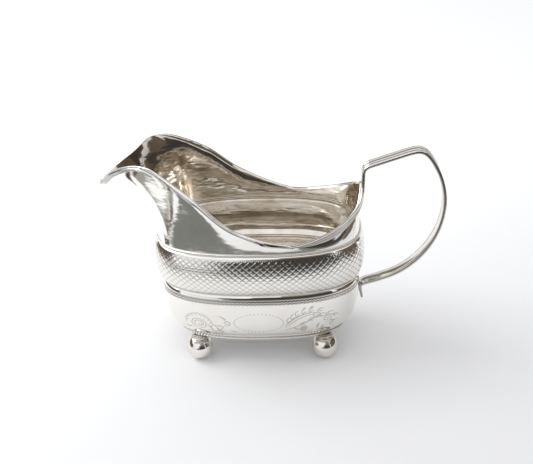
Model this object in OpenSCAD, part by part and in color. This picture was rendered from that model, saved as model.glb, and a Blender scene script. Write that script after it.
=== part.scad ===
// Silver cream jug: oblong body on four ball feet, wide pouring lip, strap handle.
// Millimetres, Z up. The lip points to -X and the handle to +X.
// The origin is on the standing surface, under the middle of the overall length.

/* [Body plan] */
// Length of the girdle, the widest part of the body
body_length = 90; // [82:1:108]
// Width of the girdle
body_width = 57; // [50:1:66]
// Roundness of the long sides seen from above: less bows them more
side_power = 2.4; // [2:0.1:3]
// Flatness of the two ends seen from above: more is flatter
end_power = 3.2; // [2.4:0.1:4]
// Thickness of the sheet silver
sheet = 0.8; // [0.6:0.1:1]

/* [Lower body] */
// Height of the top of the base wire above the table
base_height = 13.8; // [12.6:0.2:16]
// How far the foot of the belly stands in from the girdle
base_inset = 7.6; // [5:0.2:9]
// How far the widest part of the belly stands in from the girdle
belly_inset = 2.2; // [1:0.1:3]
// Height of the widest part of the belly
belly_height = 32; // [26:0.5:34]

/* [Girdle] */
// Height of the groove between belly and girdle
groove_height = 37.2; // [36:0.2:42]
// How far the groove stands in from the girdle
groove_inset = 3.2; // [2.6:0.1:4.4]
// Height of the top edge of the girdle
girdle_top = 57; // [54:0.5:58]
// How far the top edge of the girdle stands in from its widest part
girdle_top_inset = 2.1; // [1.4:0.1:3]

/* [Rim and lip] */
// How far the lip reaches in front of the body's centre, without the rim wire
lip_reach = 66; // [60:1:78]
// How far one side of the lip is drawn forward and the other back
lip_lean = 2; // [0:0.5:3]
// Height of the tip of the lip
lip_height = 79; // [76:1:84]
// Height of the two shoulders of the lip
shoulder_height = 92.5; // [88:0.5:108]
// How far the shoulders stand in front of the body's centre
shoulder_reach = 43.5; // [38:0.5:47]
// Width of the lip across its shoulders
shoulder_width = 33; // [30:1:40]
// Height of the rim at its lowest, along the sides
rim_low = 61.2; // [60.6:0.2:64]
// Height of the rim at the back, where the handle rises
rim_back = 76; // [72:1:80]
// How far the rim stands in from the girdle at the back
rim_back_inset = 1.4; // [1:0.1:2]

/* [Wires] */
// Height of the reeded rim wire
rim_wire_height = 2.7; // [2:0.1:3]
// How far the rim wire stands out from the wall
rim_wire_depth = 1.3; // [0.9:0.1:1.8]
// Number of reeds on the rim wire
rim_reeds = 3; // [2:1:4]
// Height of each milled wire beside the girdle
milled_height = 1.2; // [0.8:0.1:1.6]
// How far each milled wire stands out
milled_depth = 0.6; // [0.4:0.1:0.9]
// Height of the base wire
base_wire_height = 3; // [2.4:0.1:3.6]
// Width of the base wire, from its inner to its outer edge
base_wire_width = 2.8; // [2.2:0.1:3.6]

/* [Handle] */
// How far the handle reaches behind the body's centre
handle_reach = 79.4; // [74:0.2:94]
// Height of the corner of the handle
handle_height = 91.8; // [89:0.2:104]
// Width of the strap
strap_width = 5.8; // [4.6:0.2:7]
// Thickness of the strap
strap_thickness = 1.5; // [1.2:0.1:1.8]

/* [Feet] */
// Diameter of each ball foot
ball_diameter = 11.4; // [9.6:0.1:11.6]
// Thickness of the ball's shell
ball_shell = 0.7; // [0.5:0.1:1]
// How much of the ball is worn flat underneath
ball_wear = 0.15; // [0.1:0.05:0.4]
// How far the centre of each foot stands in from the end of the base
foot_end_inset = 9.9; // [8:0.1:12]
// How far the centre of each foot stands in from the side of the base
foot_side_inset = 3.7; // [3:0.1:5]
// Diameter of the collar between ball and base
collar_diameter = 6.8; // [5.4:0.1:7.4]
// Height of that collar
collar_height = 0.9; // [0.6:0.1:1.4]

/* [Hidden] */
FEET = [1, 2, 3, 4];

silver = [0.86, 0.85, 0.83];
pale_silver = [0.92, 0.91, 0.89];
dark_silver = [0.62, 0.61, 0.59];

columns = 64;        // points round the plan outline
half = columns / 2;  // columns from the back to the tip of the lip
neck_rows = 12;      // rows from the girdle up to the rim wire
round_steps = 48;    // facets asked for on round parts

// The body's centre, so that the origin is in the middle of the overall length
centre_x = (lip_reach - handle_reach) / 2;
half_length = body_length / 2;
half_width = body_width / 2;

// Heights of the milled wires and of the seams behind them
lower_seam = groove_height;
upper_seam = girdle_top;
groove_land = milled_height / 2;

// ---- Plan outline --------------------------------------------------------

function signed_power(v, p) = sign(v) * pow(abs(v), p);

// A point of the plan outline, standing in by inset from the girdle
function plan_point(inset, angle, z) = [
    (half_length - inset) * signed_power(cos(angle), 2 / side_power),
    (half_width - inset) * signed_power(sin(angle), 2 / end_power),
    z
];

function plan_ring(inset, z) = [for (i = [0 : columns - 1]) plan_point(inset, 360 * i / columns, z)];

// ---- Small vector helpers --------------------------------------------------

function unit(v) = v / norm(v);

function mix_points(a, b, t) = a * (1 - t) + b * t;

function bezier(p, t) =
    p[0] * pow(1 - t, 3) + 3 * p[1] * pow(1 - t, 2) * t + 3 * p[2] * (1 - t) * pow(t, 2) + p[3] * pow(t, 3);

// Catmull-Rom curve from b to c, with a and d as the neighbours
function spline(a, b, c, d, t) =
    b + (c - a) / 2 * t
    + (a - 2.5 * b + 2 * c - d / 2) * pow(t, 2)
    + (1.5 * (b - c) + (d - a) / 2) * pow(t, 3);

// ---- Closed shells from rings ------------------------------------------------

// Joins each ring of points to the next and the last to the first
module ring_loop(rings) {
    count = len(rings);
    size = len(rings[0]);
    polyhedron(
        points = [for (ring = rings) each ring],
        faces = [
            for (r = [0 : count - 1], i = [0 : size - 1])
                let (s = (r + 1) % count, j = (i + 1) % size)
                each [
                    [r * size + i, s * size + j, r * size + j],
                    [r * size + i, s * size + i, s * size + j]
                ]
        ]
    );
}

// Joins a row of outlines into one closed bar. The flat ends are fanned from the first point.
module capped_bar(outlines) {
    count = len(outlines);
    size = len(outlines[0]);
    last = (count - 1) * size;
    polyhedron(
        points = [for (outline = outlines) each outline],
        faces = [
            for (i = [1 : size - 2]) each [[0, i, i + 1], [last, last + i + 1, last + i]],
            for (r = [0 : count - 2], i = [0 : size - 1])
                let (j = (i + 1) % size)
                each [
                    [r * size + i, (r + 1) * size + j, r * size + j],
                    [r * size + i, (r + 1) * size + i, (r + 1) * size + j]
                ]
        ]
    );
}

// A sheet wall: the outer rings upwards, then the inner rings downwards.
// profile is a list of [inset, height], from the bottom up.
module sheet_wall(profile) {
    last = len(profile) - 1;
    ring_loop([
        for (p = profile) plan_ring(p[0], p[1]),
        for (k = [last : -1 : 0]) plan_ring(profile[k][0] + sheet, profile[k][1])
    ]);
}

// ---- Side profiles, as [inset, height] ---------------------------------------

belly_steps = 9;
shoulder_steps = 4;
girdle_steps = 12;

belly_top = lower_seam - groove_land;
belly_profile = [
    for (k = [0 : belly_steps])
        let (a = 90 * k / belly_steps)
        [
            belly_inset + (base_inset - belly_inset) * (1 - sin(a)),
            belly_height - (belly_height - base_height) * cos(a)
        ],
    for (k = [1 : shoulder_steps])
        let (a = 90 * k / shoulder_steps)
        [
            groove_inset - (groove_inset - belly_inset) * cos(a),
            belly_height + (belly_top - belly_height) * sin(a)
        ],
    [groove_inset, lower_seam]
];

girdle_low = lower_seam + groove_land;
girdle_high = upper_seam - groove_land;
girdle_middle = (girdle_low + girdle_high) / 2;
girdle_profile = [
    [groove_inset, lower_seam],
    for (k = [0 : girdle_steps])
        let (
            a = -90 + 180 * k / girdle_steps,
            edge = a < 0 ? groove_inset : girdle_top_inset
        )
        [edge * (1 - cos(a)), girdle_middle + (girdle_high - girdle_middle) * sin(a)],
    [girdle_top_inset, upper_seam]
];

// ---- Rim and neck ------------------------------------------------------------

rise_back = rim_back - rim_low;
rise_front = shoulder_height - rim_low;
nose = lip_reach - shoulder_reach;
lip_drop = shoulder_height - lip_height;
neck_flare = 0.25;   // outward lean of the neck where it meets the rim
lip_curl = 3;        // forward lean of the lip at its tip
foot_pull = 0.4;     // share of a column that leaves the girdle upright
rim_pull = 0.3;      // share of a column that leads into the rim

// The rim from the middle of the back, along one side, to the tip of the lip
rim_stations = [
    [half_length - rim_back_inset, 0, rim_back],
    [0.91 * half_length, 0.42 * half_width, rim_low + 0.6 * rise_back],
    [0.64 * half_length, 0.74 * half_width, rim_low + 0.17 * rise_back],
    [0.25 * half_length, 0.93 * half_width, rim_low],
    [-0.2 * half_length, 1.01 * half_width, rim_low + 0.26 * rise_front],
    [-0.56 * half_length, 0.9 * half_width, rim_low + 0.69 * rise_front],
    [-shoulder_reach, shoulder_width / 2, shoulder_height],
    [-shoulder_reach - 0.6 * nose, 0.225 * shoulder_width, lip_height + 0.58 * lip_drop],
    [-lip_reach, 0, lip_height]
];
spans = len(rim_stations) - 1;

function mirrored(p) = [p[0], -p[1], p[2]];

function rim_station(k) =
    k < 0 ? mirrored(rim_stations[-k])
    : k > spans ? mirrored(rim_stations[2 * spans - k])
    : rim_stations[k];

// Point of the rim at s, from 0 at the back to 1 at the tip of the lip
function rim_at(s) =
    let (k = min(floor(s * spans), spans - 1), t = s * spans - k)
    spline(rim_station(k - 1), rim_station(k), rim_station(k + 1), rim_station(k + 2), t);

// Column i of the neck starts on the girdle and ends on the rim
function neck_curve(i) =
    let (
        side = i > half ? -1 : 1,
        step = i > half ? columns - i : i,
        s = step / half,
        low = plan_point(girdle_top_inset, 180 * s, upper_seam + groove_land),
        rim = rim_at(s),
        past_shoulder = max(0, -rim[0] - shoulder_reach) / nose,
        top = rim + [side * lip_lean * pow(sin(180 * past_shoulder), 2), 0, 0],
        rise = norm(top - low),
        ahead = max(0, -top[0] - half_length) / nose,
        lean = neck_flare * (top - low),
        out = unit([lean[0] - lip_curl * ahead, lean[1], 1]),
        curve = [low, low + [0, 0, foot_pull * rise], top - rim_pull * rise * out, top]
    )
    [for (p = curve) [p[0], side * p[1], p[2]]];

// Where the rim wire's lower edge lies on each column, as a share of its curve
wire_seat = [for (i = [0 : columns - 1])
    let (c = neck_curve(i)) 1 - rim_wire_height / (norm(c[3] - c[2]) * 3)];

function neck_row(k) = [
    for (i = [0 : columns - 1]) bezier(neck_curve(i), k > neck_rows ? 1 : wire_seat[i] * k / neck_rows)
];

outer_rows = [plan_ring(girdle_top_inset, upper_seam), for (k = [0 : neck_rows + 1]) neck_row(k)];
row_count = len(outer_rows);

// Outward direction of the neck at row k, column i
function neck_normal(k, i) =
    let (
        below = outer_rows[max(k - 1, 0)][i],
        above = outer_rows[min(k + 1, row_count - 1)][i],
        before = outer_rows[k][(i + columns - 1) % columns],
        after = outer_rows[k][(i + 1) % columns],
        n = unit(cross(after - before, above - below))
    )
    k < 2 ? unit([n[0], n[1], 0]) : n;

normals = [for (k = [0 : row_count - 1]) [for (i = [0 : columns - 1]) neck_normal(k, i)]];

function offset_row(k, distance) = [for (i = [0 : columns - 1]) outer_rows[k][i] + distance * normals[k][i]];

// ---- Body pieces -------------------------------------------------------------

module base_plate() {
    color(dark_silver)
        translate([centre_x, 0, base_height - base_wire_height])
            linear_extrude(height = sheet)
                polygon([for (p = plan_ring(base_inset + base_wire_width, 0)) [p[0], p[1]]]);
}

module base_wire() {
    low = base_height - base_wire_height;
    inner = base_inset + base_wire_width;
    steps = 5;
    color(pale_silver)
        translate([centre_x, 0, 0])
            ring_loop([
                for (reed = [0, 1], k = [0 : steps - 1])
                    let (a = 180 * k / steps, z = low + base_wire_height / 2 * (reed + k / steps))
                    plan_ring(base_inset + 0.5 * (1 - sin(a)), z),
                plan_ring(base_inset + 0.5, base_height),
                plan_ring(inner, base_height),
                plan_ring(inner, low)
            ]);
}

module lower_body() {
    color(pale_silver)
        translate([centre_x, 0, 0])
            sheet_wall(belly_profile);
}

module girdle() {
    color(silver)
        translate([centre_x, 0, 0])
            sheet_wall(girdle_profile);
}

module upper_body() {
    color(silver)
        translate([centre_x, 0, 0])
            ring_loop([
                for (k = [0 : row_count - 1]) outer_rows[k],
                for (k = [row_count - 1 : -1 : 0]) offset_row(k, -sheet)
            ]);
}

// ---- Wires -------------------------------------------------------------------

// A half-round wire lying on the straight land at a seam
module milled_wire(inset, seam) {
    steps = 6;
    color(dark_silver)
        translate([centre_x, 0, 0])
            ring_loop([
                for (k = [0 : steps])
                    let (a = -90 + 180 * k / steps)
                    plan_ring(inset - milled_depth * cos(a), seam + groove_land * sin(a))
            ]);
}

module lower_milled_wire() {
    milled_wire(groove_inset, lower_seam);
}

module upper_milled_wire() {
    milled_wire(girdle_top_inset, upper_seam);
}

// The reeded wire round the top edge of the neck, stopping at each side of the strap
module rim_wire() {
    steps = 4;
    seat = row_count - 2;
    top = row_count - 1;
    color(pale_silver)
        translate([centre_x, 0, 0])
            difference() {
                ring_loop([
                    outer_rows[seat],
                    for (reed = [0 : rim_reeds - 1], k = [0 : steps])
                        let (
                            s = (reed + k / steps) / rim_reeds,
                            depth = rim_wire_depth * (0.7 + 0.3 * sin(180 * k / steps))
                        )
                        if (k < steps || reed == rim_reeds - 1)
                            [for (i = [0 : columns - 1])
                                mix_points(outer_rows[seat][i], outer_rows[top][i], s)
                                + depth * normals[top][i]],
                    outer_rows[top]
                ]);
                translate([0, -strap_width / 2, rim_low])
                    cube([body_length, strap_width, shoulder_height - rim_low]);
            }
}

// ---- Handle ------------------------------------------------------------------

// The strap rises behind the rim, runs out along the arm, turns down at the
// corner, loops back to the belly and ends in a short free tail
riser_x = half_length - rim_back_inset + strap_thickness / 2;
riser_lap = 7;       // how far the strap reaches down the neck below the rim
riser_bed = 0.8;     // how far its lower end is let into the neck
arm_start = [riser_x + 4, 0, rim_back + 8.9];
corner_x = handle_reach - 7.8;
loop_start = [corner_x, 0, handle_height - 4.4];
loop_end = [half_length + 8, 0, groove_height - 7];
root_bed = 0.1;      // how far the strap is let into the belly
root_x = half_length - belly_inset + strap_thickness / 2 - root_bed;
root_drop = 5;       // fall of the strap from the end of the loop to its root
tail_reach = 11.2;   // fall from the end of the loop to the tip of the tail
tail_kick = 0.9;     // how far the tip of the tail stands out from the root

handle_path = [
    [riser_x - riser_bed, 0, rim_back - riser_lap],
    [riser_x - riser_bed / 4, 0, rim_back - riser_lap + 5],
    for (t = [0 : 0.2 : 1])
        bezier([
            [riser_x, 0, rim_back + 4.5],
            [riser_x, 0, rim_back + 7],
            arm_start - [3.2, 0, 1],
            arm_start
        ], t),
    for (t = [0 : 0.2 : 1])
        bezier([
            [corner_x - 9.5, 0, handle_height - 2.3],
            [corner_x - 4.4, 0, handle_height - 0.6],
            [corner_x - 2.6, 0, handle_height - 1],
            loop_start
        ], t),
    for (t = [0.05 : 0.05 : 1])
        bezier([
            loop_start,
            loop_start + [15.4, 0, -22.3],
            loop_end + [21, 0, 6.7],
            loop_end
        ], t),
    for (t = [0.2 : 0.2 : 1])
        bezier([
            loop_end,
            loop_end - [6, 0, 2.6],
            [root_x - 0.4, 0, loop_end[2] - 2],
            [root_x - 0.1, 0, loop_end[2] - root_drop]
        ], t),
    [root_x + tail_kick / 2, 0, loop_end[2] - (root_drop + tail_reach) / 2],
    [root_x + tail_kick, 0, loop_end[2] - tail_reach]
];

fit_depth = 6;       // how far the solids that the strap is fitted to reach inwards

// Solid behind the back wall of the neck, which the strap is fitted to
module neck_back() {
    capped_bar([
        for (k = [2 : row_count - 1])
            [
                for (i = [-2 : 2]) outer_rows[k][(i + columns) % columns],
                for (i = [2, -2]) outer_rows[k][(i + columns) % columns] - [fit_depth, 0, 0]
            ]
    ]);
}

// Solid behind the back wall of the belly, which the strap's root is fitted to
module belly_back() {
    capped_bar([
        for (p = belly_profile)
            let (ring = plan_ring(p[0], p[1]))
            [
                for (i = [-2 : 2]) ring[(i + columns) % columns],
                for (i = [2, -2]) ring[(i + columns) % columns] - [fit_depth, 0, 0]
            ]
    ]);
}

// The strap across its width, with two shallow channels along its face
strap_section = [
    for (q = [[0, -1], [0.9, -1], [1, -0.7], [1, 0.7], [0.9, 1], [0.4, 1], [0.3, 0.7], [0.2, 1],
        [-0.2, 1], [-0.3, 0.7], [-0.4, 1], [-0.9, 1], [-1, 0.7], [-1, -0.7], [-0.9, -1]])
        [q[0] * strap_width / 2, q[1] * strap_thickness / 2]
];

module handle() {
    count = len(handle_path);
    tail = 3;
    color(silver)
        translate([centre_x, 0, 0])
            difference() {
                capped_bar([
                    for (k = [0 : count - 1])
                        let (
                            along = unit(handle_path[min(k + 1, count - 1)] - handle_path[max(k - 1, 0)]),
                            out = [-along[2], 0, along[0]],
                            left = count - 1 - k,
                            taper = left >= tail ? 1 : 0.25 + 0.75 * left / tail
                        )
                        [for (q = strap_section) handle_path[k] + taper * ([0, q[0], 0] + q[1] * out)]
                ]);
                neck_back();
                belly_back();
            }
}

// ---- Feet --------------------------------------------------------------------

ball_radius = ball_diameter / 2;
ball_centre = ball_radius - ball_wear;
collar_top = base_height - base_wire_height;
collar_low = collar_top - collar_height;
collar_splay = 0.4;  // how much wider the collar is where it meets the ball
collar_foot = collar_diameter + collar_splay;

// Height at which the ball is as wide as the collar's foot. Where the ball is too
// small to reach the collar, a plain stem of the same width fills the gap.
ball_shoulder = ball_centre + sqrt(pow(ball_radius, 2) - pow(collar_foot / 2, 2));
ball_top = min(collar_low, ball_shoulder);

// Moves what follows to foot 1 to 4
module at_foot(number) {
    x = number <= 2 ? -1 : 1;
    y = number % 2 == 1 ? -1 : 1;
    translate([
        centre_x + x * (half_length - base_inset - foot_end_inset),
        y * (half_width - base_inset - foot_side_inset),
        0
    ])
        children();
}

module hollow_ball() {
    translate([0, 0, ball_centre])
        difference() {
            sphere(r = ball_radius, $fn = round_steps);
            sphere(r = ball_radius - ball_shell, $fn = round_steps);
        }
}

module foot_collar(number) {
    color(dark_silver)
        at_foot(number)
            union() {
                translate([0, 0, collar_low])
                    cylinder(h = collar_height, d1 = collar_foot, d2 = collar_diameter, $fn = round_steps);
                if (ball_top < collar_low)
                    translate([0, 0, ball_top])
                        cylinder(h = collar_low - ball_top, d = collar_foot, $fn = round_steps);
            }
}

module foot_cup_upper(number) {
    color(silver)
        at_foot(number)
            intersection() {
                hollow_ball();
                translate([-ball_diameter, -ball_diameter, ball_centre])
                    cube([2 * ball_diameter, 2 * ball_diameter, ball_top - ball_centre]);
            }
}

module foot_cup_lower(number) {
    color(silver)
        at_foot(number)
            intersection() {
                hollow_ball();
                translate([-ball_diameter, -ball_diameter, 0])
                    cube([2 * ball_diameter, 2 * ball_diameter, ball_centre]);
            }
}

base_plate();
base_wire();
lower_body();
girdle();
upper_body();
lower_milled_wire();
upper_milled_wire();
rim_wire();
handle();
for (n = FEET) foot_collar(n);
for (n = FEET) foot_cup_upper(n);
for (n = FEET) foot_cup_lower(n);
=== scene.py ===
import math
import bpy
import numpy as np
from mathutils import Matrix, Vector


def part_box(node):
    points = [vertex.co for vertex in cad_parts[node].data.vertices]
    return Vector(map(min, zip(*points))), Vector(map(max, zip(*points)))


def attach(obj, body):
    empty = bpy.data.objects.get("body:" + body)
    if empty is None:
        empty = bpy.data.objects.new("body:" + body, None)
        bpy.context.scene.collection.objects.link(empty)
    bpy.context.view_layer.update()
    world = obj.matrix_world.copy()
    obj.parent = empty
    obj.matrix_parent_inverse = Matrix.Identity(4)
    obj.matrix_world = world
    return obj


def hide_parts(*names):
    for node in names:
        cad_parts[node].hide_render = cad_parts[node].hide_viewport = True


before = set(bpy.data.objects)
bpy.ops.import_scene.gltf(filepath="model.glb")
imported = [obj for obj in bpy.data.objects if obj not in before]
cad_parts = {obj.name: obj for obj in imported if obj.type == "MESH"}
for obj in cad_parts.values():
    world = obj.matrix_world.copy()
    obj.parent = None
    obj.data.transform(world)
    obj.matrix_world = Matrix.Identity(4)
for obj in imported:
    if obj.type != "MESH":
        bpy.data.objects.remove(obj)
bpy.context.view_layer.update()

mm = 0.001
tiny = 1e-15             # keeps a division by a length of nothing from failing
slack = 1e-9             # metres that two equal heights may differ by
scene = bpy.context.scene

# the view: angles in degrees, places in metres, lens in millimetres
viewPoint = dict(azimuth=3.74, elevation=29.76, roll=-2.78, distance=0.3937,
                 target=(-0.0036, 0.0, 0.05304), lens=61.7, nearest=0.01)


def makeCamera(spec):
    azimuth, elevation, roll = (math.radians(spec[k]) for k in ("azimuth", "elevation", "roll"))
    back = Vector((math.sin(azimuth) * math.cos(elevation),
                   -math.cos(azimuth) * math.cos(elevation), math.sin(elevation)))
    side = (-back).cross(Vector((0, 0, 1))).normalized()
    above = side.cross(-back)
    right = math.cos(roll) * side + math.sin(roll) * above
    up = math.cos(roll) * above - math.sin(roll) * side
    turn = Matrix((right, up, back)).transposed().to_4x4()
    turn.translation = Vector(spec["target"]) + back * spec["distance"]
    data = bpy.data.cameras.new("camera")
    data.lens = spec["lens"]
    data.clip_start = spec["nearest"]
    camera = bpy.data.objects.new("camera", data)
    camera.matrix_world = turn
    scene.collection.objects.link(camera)
    scene.camera = camera


makeCamera(viewPoint)
print("camera placed")

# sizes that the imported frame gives
girdleLow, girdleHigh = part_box("girdle")
bellyLow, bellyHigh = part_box("lower_body")
baseLow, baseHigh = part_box("base_wire")
plateLow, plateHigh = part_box("base_plate")
centreX = (girdleLow.x + girdleHigh.x) / 2
halfLength = (girdleHigh.x - girdleLow.x) / 2
halfWidth = (girdleHigh.y - girdleLow.y) / 2
seamLow = bellyHigh.z       # groove between belly and girdle
seamHigh = girdleHigh.z     # seam between girdle and neck
print("sizes read")

# The outline from above is a rounded oblong. The sheet is the thickness of the silver, and the land
# is the plain strip at a seam.
plan = dict(sidePower=2.4, endPower=3.2, sheet=0.8 * mm, land=0.6 * mm, samples=80001)


def signedPower(v, p):
    return np.sign(v) * np.abs(v) ** p


# Points of the outline, drawn in by an inset. A turn runs from 0 to 1, starting at the handle.
def planPoints(inset, turn):
    a = 2 * np.pi * np.asarray(turn)
    return ((halfLength - inset) * signedPower(np.cos(a), 2 / plan["sidePower"]),
            (halfWidth - inset) * signedPower(np.sin(a), 2 / plan["endPower"]))


# Turns that are evenly spaced along the outline, or closer where the weight is larger
def spreadTurns(count, inset, weight=None):
    fine = np.linspace(0, 1, plan["samples"])
    x, y = planPoints(inset, fine)
    step = np.hypot(np.diff(x), np.diff(y))
    length = step.sum()
    if weight is not None:
        step = step * weight((x[1:] + x[:-1]) / 2)
    run = np.concatenate([[0], np.cumsum(step)])
    return np.interp(np.arange(count) / count * run[-1], run, fine), length


def rowOfPoints(x, y, z):
    return np.stack([x, y, np.broadcast_to(z, x.shape)], axis=1)


# One row of points between two outlines, at a share of the way from the inner to the outer one
def rowBetween(inner, outer, turns, share, z):
    x, y = planPoints(inner, turns)
    bigX, bigY = planPoints(outer, turns)
    return rowOfPoints(centreX + x + (bigX - x) * share, y + (bigY - y) * share, z)


# One row of points round the outline for each (inset, height) of a profile
def planGrid(profile, turns):
    rows = [(planPoints(inset, turns), z) for inset, z in profile]
    return np.array([rowOfPoints(centreX + x, y, z) for (x, y), z in rows])


def gridNormals(grid):
    along = np.roll(grid, -1, axis=1) - np.roll(grid, 1, axis=1)
    up = np.gradient(grid, axis=0)
    n = np.cross(along, up)
    return n / (np.linalg.norm(n, axis=2, keepdims=True) + tiny)


# A value from 0 to 1 at each point darkens the silver there. It is painted shade in grooves, reeds,
# collars, between beads and at the strap's root, and the dark solder seam of each ball.
def makeMesh(name, points, faces, shadeAndGrime=None):
    mesh = bpy.data.meshes.new(name)
    mesh.from_pydata(np.asarray(points).reshape(-1, 3).tolist(), [], faces)
    mesh.polygons.foreach_set("use_smooth", np.ones(len(mesh.polygons), bool))
    if shadeAndGrime is not None:
        layer = mesh.attributes.new("shadeAndGrime", "FLOAT", "POINT")
        layer.data.foreach_set("value", np.asarray(shadeAndGrime, dtype=np.float32).ravel())
    mesh.update()
    piece = bpy.data.objects.new(name, mesh)
    scene.collection.objects.link(piece)
    return piece


def gridQuads(rows, cols, loopRows=True, loopCols=True):
    r, c = np.meshgrid(np.arange(rows if loopRows else rows - 1),
                       np.arange(cols if loopCols else cols - 1), indexing="ij")
    r2, c2 = (r + 1) % rows, (c + 1) % cols
    corners = [r * cols + c, r * cols + c2, r2 * cols + c2, r2 * cols + c]
    return np.stack(corners, axis=-1).reshape(-1, 4)


# Faces of a solid bar made of rings of points, closed at both ends
def barFaces(rows, cols, turned=False):
    faces = gridQuads(rows, cols, loopRows=False)
    faces = (faces[:, ::-1] if turned else faces).tolist()
    return faces + [list(range(cols))[::-1], [(rows - 1) * cols + c for c in range(cols)]]


# Rows of a closed loop of metal: outer face upwards, then inner face downwards
def makeLoop(name, outer, inner, shadeAndGrime=None):
    grid = np.concatenate([outer, inner[::-1]])
    if shadeAndGrime is not None:
        shadeAndGrime = np.concatenate([shadeAndGrime, np.zeros(inner.shape[:2])])
    return makeMesh(name, grid, gridQuads(*grid.shape[:2]).tolist(), shadeAndGrime)


def lengthsAlong(points):
    return np.concatenate([[0], np.cumsum(np.hypot(*np.diff(points, axis=0).T))])


# The same line with a number of evenly spaced points
def respace(points, count):
    run = lengthsAlong(points)
    at = np.linspace(0, run[-1], count)
    return np.stack([np.interp(at, run, points[:, k]) for k in (0, 1)], axis=1)


def evenRows(profile, step):
    return respace(profile, max(2, int(round(lengthsAlong(profile)[-1] / step)) + 1))


def bezier(points, t):
    a, b, c, d = (np.asarray(p, float) for p in points)
    t = np.asarray(t)[..., None]
    return a * (1 - t) ** 3 + 3 * b * (1 - t) ** 2 * t + 3 * c * (1 - t) * t ** 2 + d * t ** 3


def catmull(a, b, c, d, t):
    return 0.5 * (2 * b + (c - a) * t + (2 * a - 5 * b + 4 * c - d) * t ** 2
                  + (3 * b - a - 3 * c + d) * t ** 3)


# A smooth line through the points
def spline(points, count):
    points = np.asarray(points, float)
    ends = np.concatenate([[2 * points[0] - points[1]], points, [2 * points[-1] - points[-2]]])
    at = np.linspace(0, len(points) - 1, count)
    k = np.minimum(at.astype(int), len(points) - 2)
    return catmull(ends[k], ends[k + 1], ends[k + 2], ends[k + 3], (at - k)[:, None])


# The round top of a bead or reed, for a share from 0 at one side to 1 at the other
def roundTop(share):
    return np.sqrt(np.clip(1 - (2 * share - 1) ** 2, 0, 1))


# A gentle hand-raised unevenness from three waves that cross, the same on every run
def unevenness(points, size, amount):
    second, third = 0.6, 0.35                          # heights of the smaller waves
    x, y, z = (np.asarray(points)[..., k] / size for k in range(3))
    wave = (np.sin(1.7 * x + 2.3 * z + 0.6) * np.cos(1.3 * y + 1.1 * z)
            + second * np.sin(3.1 * x - 2.2 * y + 4.3 * z + 1.9)
            + third * np.sin(5.7 * z + 2.9 * x + 3.7 * y + 4.1))
    return amount * wave / (1 + second + third)


# silver: its own colour, the colour of tarnish, and the dark colour of painted shade in hollows and
# of solder seams
silverLook = dict(bright=(0.93, 0.915, 0.885), warm=(0.72, 0.65, 0.56), shadeAndGrime=(0.15, 0.13, 0.11))
insideLook = dict(bright=(0.90, 0.875, 0.83), warm=(0.60, 0.545, 0.475), shadeAndGrime=(0.15, 0.13, 0.11))
# how fine each kind of mark is, its detail, and how it is stretched and tilted
marks = dict(cloud=(55, 5), specks=(900, 3), scuffs=(260, 4, (1, 6, 1), (0.3, 0.2, 0.5)),
             swell=(120, 2, (0.6, 0.6, 2.2)), hairlines=(1400, 2, (0.25, 1, 5), (0.2, 0.1, 0.4)),
             coarseness=0.55,
             cloudEdge=(0.38, 0.7), shadeAndGrimeEdge=(0.1, 0.9), scuffEdge=(0.3, 0.75),
             leastRough=0.6, mostRough=1.7, hairlineDepth=0.02 * mm, speckDepth=0.01 * mm)


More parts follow.
